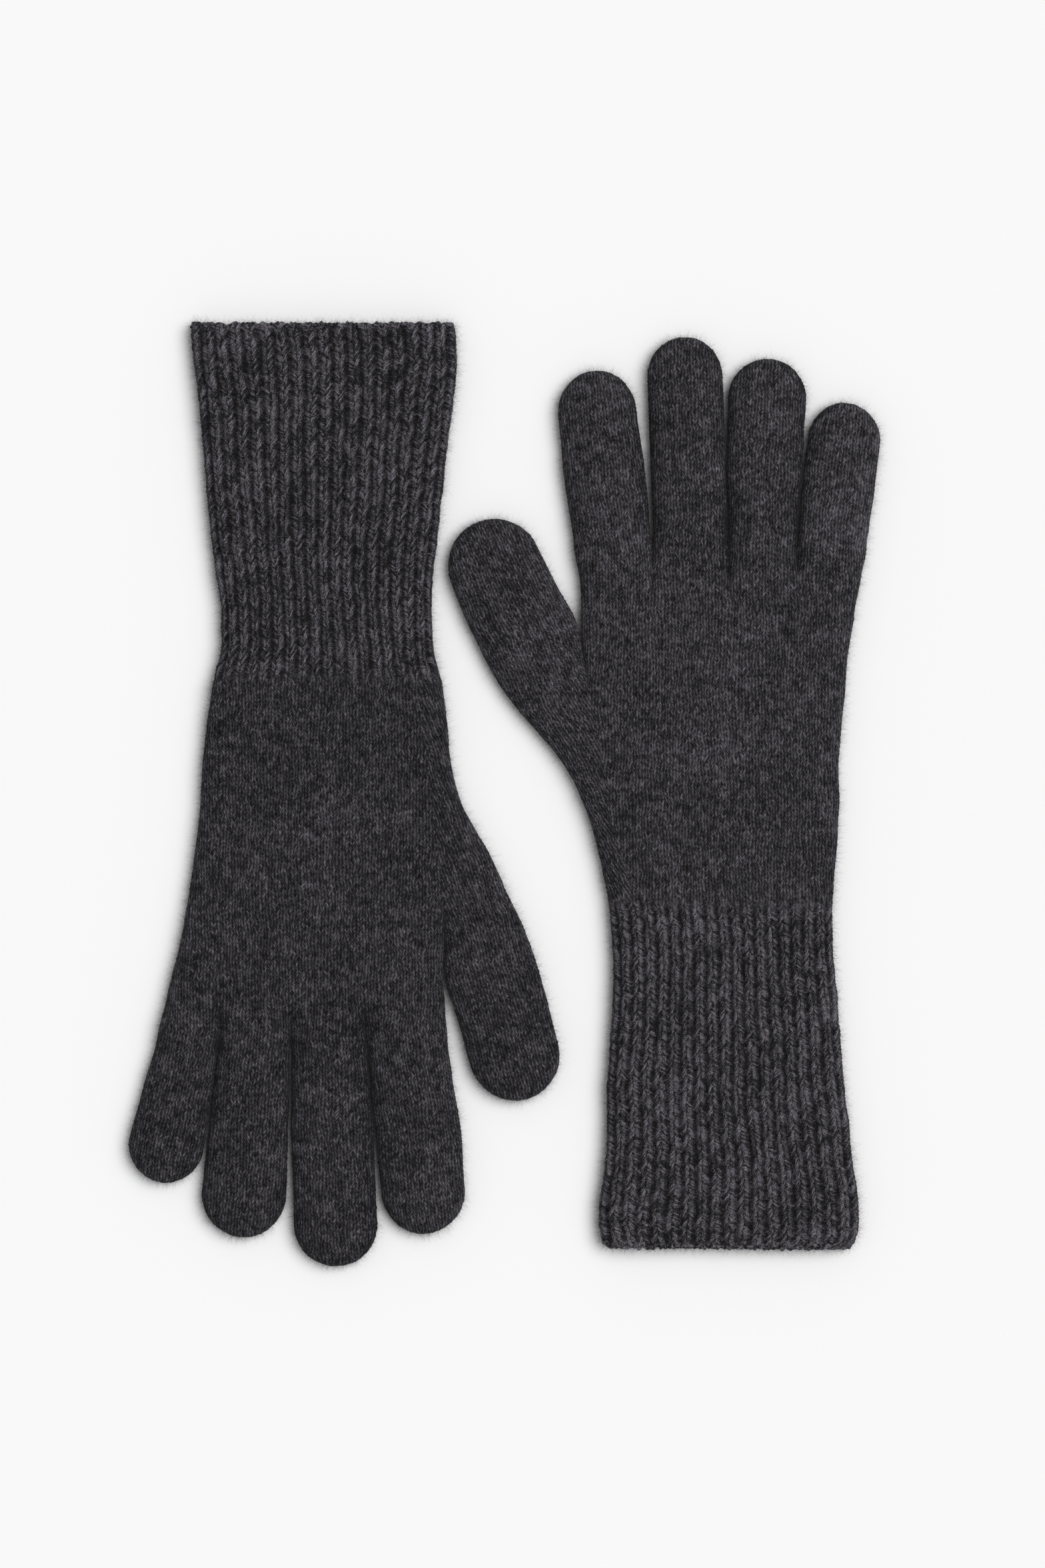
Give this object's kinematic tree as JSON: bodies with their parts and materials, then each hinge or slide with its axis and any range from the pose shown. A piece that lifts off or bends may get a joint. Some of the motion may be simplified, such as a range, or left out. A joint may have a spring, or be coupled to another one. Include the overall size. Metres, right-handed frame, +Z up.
{
  "type": "pair of knitted gloves",
  "caption": "Pair of long-cuffed knitted gloves lying flat, with ribbed cuffs, plain knitted hands and jointed hollow fingers and thumbs.",
  "frame": {"origin": "on the table, at the middle of the pair as it lies", "axes": "+Z is up from the table, +Y runs along the gloves towards the right glove's fingertips, and +X points from the left glove to the right one"},
  "size_m": [0.2537, 0.317, 0.009],
  "materials": {
    "plain_knit": "soft charcoal melange yarn in plain stocking stitch, matt with a light fuzz",
    "rib_knit": "soft charcoal melange yarn in one-by-one rib, matt with a light fuzz",
    "hem_knit": "cast-on edge of the same yarn, slightly lighter and denser"
  },
  "bodies": {
    "left_hand": {"left_hand": "plain_knit"},
    "left_cuff_upper": {"left_cuff_upper": "rib_knit"},
    "left_cuff_lower": {"left_cuff_lower": "rib_knit", "left_hem": "hem_knit"},
    "left_index_base": {"left_index_base": "plain_knit"},
    "left_index_tip": {"left_index_tip": "plain_knit"},
    "left_middle_base": {"left_middle_base": "plain_knit"},
    "left_middle_tip": {"left_middle_tip": "plain_knit"},
    "left_ring_base": {"left_ring_base": "plain_knit"},
    "left_ring_tip": {"left_ring_tip": "plain_knit"},
    "left_little_base": {"left_little_base": "plain_knit"},
    "left_little_tip": {"left_little_tip": "plain_knit"},
    "left_thumb_base": {"left_thumb_base": "plain_knit"},
    "left_thumb_tip": {"left_thumb_tip": "plain_knit"},
    "right_hand": {"right_hand": "plain_knit"},
    "right_cuff_upper": {"right_cuff_upper": "rib_knit"},
    "right_cuff_lower": {"right_cuff_lower": "rib_knit", "right_hem": "hem_knit"},
    "right_index_base": {"right_index_base": "plain_knit"},
    "right_index_tip": {"right_index_tip": "plain_knit"},
    "right_middle_base": {"right_middle_base": "plain_knit"},
    "right_middle_tip": {"right_middle_tip": "plain_knit"},
    "right_ring_base": {"right_ring_base": "plain_knit"},
    "right_ring_tip": {"right_ring_tip": "plain_knit"},
    "right_little_base": {"right_little_base": "plain_knit"},
    "right_little_tip": {"right_little_tip": "plain_knit"},
    "right_thumb_base": {"right_thumb_base": "plain_knit"},
    "right_thumb_tip": {"right_thumb_tip": "plain_knit"}
  },
  "joints": [
    {"name": "left_wrist_fold", "type": "hinge", "parent": "left_hand", "child": "left_cuff_upper", "pos_m": [-0.061, 0.03835, 0.0093], "axis": [1, 0, 0], "range_deg": [0, 85]},
    {"name": "left_cuff_turn", "type": "hinge", "parent": "left_cuff_upper", "child": "left_cuff_lower", "pos_m": [-0.061, 0.09835, 0.0093], "axis": [1, 0, 0], "range_deg": [0, 170]},
    {"name": "left_index_knuckle", "type": "hinge", "parent": "left_hand", "child": "left_index_base", "pos_m": [-0.03325, -0.07965, 0.0093], "axis": [-1, 0, 0], "range_deg": [0, 90]},
    {"name": "left_index_bend", "type": "hinge", "parent": "left_index_base", "child": "left_index_tip", "pos_m": [-0.02929, -0.11229, 0.0093], "axis": [-1, 0, 0], "range_deg": [0, 100]},
    {"name": "left_middle_knuckle", "type": "hinge", "parent": "left_hand", "child": "left_middle_base", "pos_m": [-0.05975, -0.07965, 0.0093], "axis": [-1, 0, 0], "range_deg": [0, 90]},
    {"name": "left_middle_bend", "type": "hinge", "parent": "left_middle_base", "child": "left_middle_tip", "pos_m": [-0.05795, -0.11757, 0.0093], "axis": [-1, 0, 0], "range_deg": [0, 100]},
    {"name": "left_ring_knuckle", "type": "hinge", "parent": "left_hand", "child": "left_ring_base", "pos_m": [-0.084, -0.07965, 0.0093], "axis": [-1, 0, 0], "range_deg": [0, 90]},
    {"name": "left_ring_bend", "type": "hinge", "parent": "left_ring_base", "child": "left_ring_tip", "pos_m": [-0.08664, -0.11277, 0.0093], "axis": [-1, 0, 0], "range_deg": [0, 100]},
    {"name": "left_little_knuckle", "type": "hinge", "parent": "left_hand", "child": "left_little_base", "pos_m": [-0.1065, -0.07965, 0.0093], "axis": [-1, 0, 0], "range_deg": [0, 90]},
    {"name": "left_little_bend", "type": "hinge", "parent": "left_little_base", "child": "left_little_tip", "pos_m": [-0.11178, -0.10413, 0.0093], "axis": [-1, 0, 0], "range_deg": [0, 100]},
    {"name": "left_thumb_root", "type": "hinge", "parent": "left_hand", "child": "left_thumb_base", "pos_m": [-0.0084, -0.0425, 0.0093], "axis": [-0.9336, -0.3584, 0], "range_deg": [0, 30]},
    {"name": "left_thumb_bend", "type": "hinge", "parent": "left_thumb_base", "child": "left_thumb_tip", "pos_m": [0.00276, -0.07158, 0.0093], "axis": [-0.9336, -0.3584, 0], "range_deg": [0, 50]},
    {"name": "right_wrist_fold", "type": "hinge", "parent": "right_hand", "child": "right_cuff_upper", "pos_m": [0.076, -0.03635, 0.0093], "axis": [-1, 0, 0], "range_deg": [0, 85]},
    {"name": "right_cuff_turn", "type": "hinge", "parent": "right_cuff_upper", "child": "right_cuff_lower", "pos_m": [0.076, -0.09435, 0.0093], "axis": [-1, 0, 0], "range_deg": [0, 170]},
    {"name": "right_index_knuckle", "type": "hinge", "parent": "right_hand", "child": "right_index_base", "pos_m": [0.03675, 0.08165, 0.0093], "axis": [1, 0, 0], "range_deg": [0, 90]},
    {"name": "right_index_bend", "type": "hinge", "parent": "right_index_base", "child": "right_index_tip", "pos_m": [0.03279, 0.11069, 0.0093], "axis": [1, 0, 0], "range_deg": [0, 100]},
    {"name": "right_middle_knuckle", "type": "hinge", "parent": "right_hand", "child": "right_middle_base", "pos_m": [0.0625, 0.08165, 0.0093], "axis": [1, 0, 0], "range_deg": [0, 90]},
    {"name": "right_middle_bend", "type": "hinge", "parent": "right_middle_base", "child": "right_middle_tip", "pos_m": [0.0613, 0.11621, 0.0093], "axis": [1, 0, 0], "range_deg": [0, 100]},
    {"name": "right_ring_knuckle", "type": "hinge", "parent": "right_hand", "child": "right_ring_base", "pos_m": [0.0865, 0.08165, 0.0093], "axis": [1, 0, 0], "range_deg": [0, 90]},
    {"name": "right_ring_bend", "type": "hinge", "parent": "right_ring_base", "child": "right_ring_tip", "pos_m": [0.08746, 0.11285, 0.0093], "axis": [1, 0, 0], "range_deg": [0, 100]},
    {"name": "right_little_knuckle", "type": "hinge", "parent": "right_hand", "child": "right_little_base", "pos_m": [0.11, 0.08165, 0.0093], "axis": [1, 0, 0], "range_deg": [0, 90]},
    {"name": "right_little_bend", "type": "hinge", "parent": "right_little_base", "child": "right_little_tip", "pos_m": [0.11288, 0.10565, 0.0093], "axis": [1, 0, 0], "range_deg": [0, 100]},
    {"name": "right_thumb_root", "type": "hinge", "parent": "right_hand", "child": "right_thumb_base", "pos_m": [0.0167, 0.0355, 0.0093], "axis": [0.866, 0.5, 0], "range_deg": [0, 30]},
    {"name": "right_thumb_bend", "type": "hinge", "parent": "right_thumb_base", "child": "right_thumb_tip", "pos_m": [0.00112, 0.06248, 0.0093], "axis": [0.866, 0.5, 0], "range_deg": [0, 50]},
    {"name": "gloves_apart", "type": "slide", "parent": "left_hand", "child": "right_hand", "axis": [1, 0, 0], "range_m": [0, 0.12]}
  ]
}
